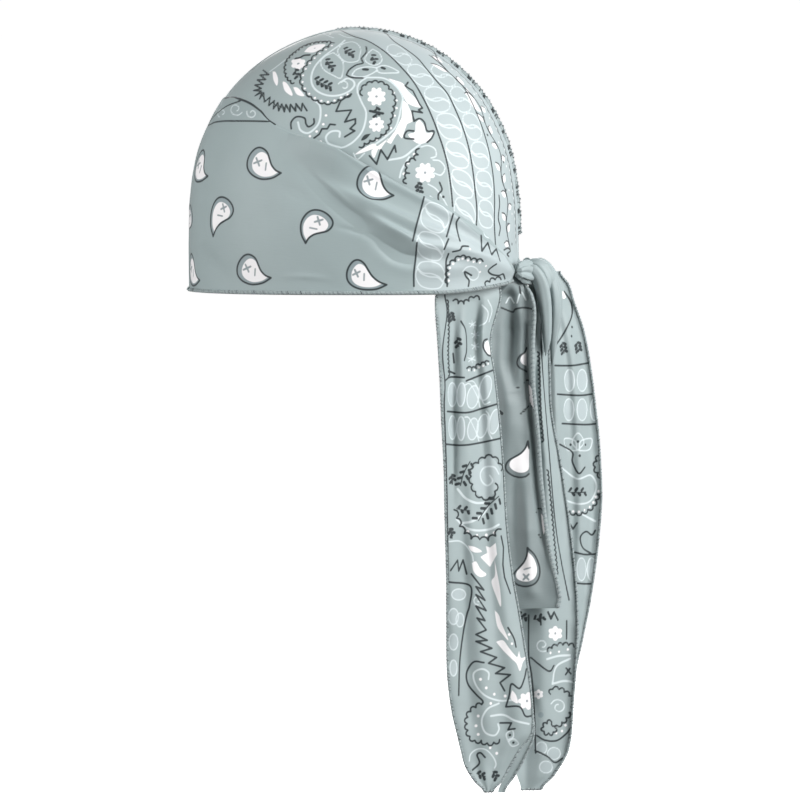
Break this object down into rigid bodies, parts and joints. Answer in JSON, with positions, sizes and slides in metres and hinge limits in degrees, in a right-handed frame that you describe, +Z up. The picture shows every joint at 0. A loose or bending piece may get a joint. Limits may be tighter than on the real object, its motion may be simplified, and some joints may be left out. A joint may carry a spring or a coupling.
{
  "type": "durag",
  "caption": "Silky tie-back head wrap with a bandana print: seamed dome crown, folded forehead band knotted at the nape, a hanging back flap and two long tails.",
  "frame": {"origin": "inside top of the crown, where the wrap sits on the head, on the upright line through the middle of its rim", "axes": "+Z up, -Y the forehead, +Y the knot at the nape, +X the wearer's left"},
  "size_m": [0.1584, 0.2464, 0.4581],
  "materials": {
    "printed_satin": "pale grey-blue polyester satin with a dark and white paisley print",
    "plain_satin": "pale grey-blue polyester satin with small drop motifs",
    "overlock_thread": "grey-blue overlocked edge stitching"
  },
  "bodies": {
    "root": {"crown_left": "printed_satin", "crown_right": "printed_satin", "centre_seam": "overlock_thread", "forehead_band": "plain_satin", "band_hem": "overlock_thread", "knot": "printed_satin", "tail_near": "printed_satin", "cape": "plain_satin", "tail_far_roll": "printed_satin", "tail_far_outer": "printed_satin", "tail_far_corner": "printed_satin"}
  },
  "joints": []
}
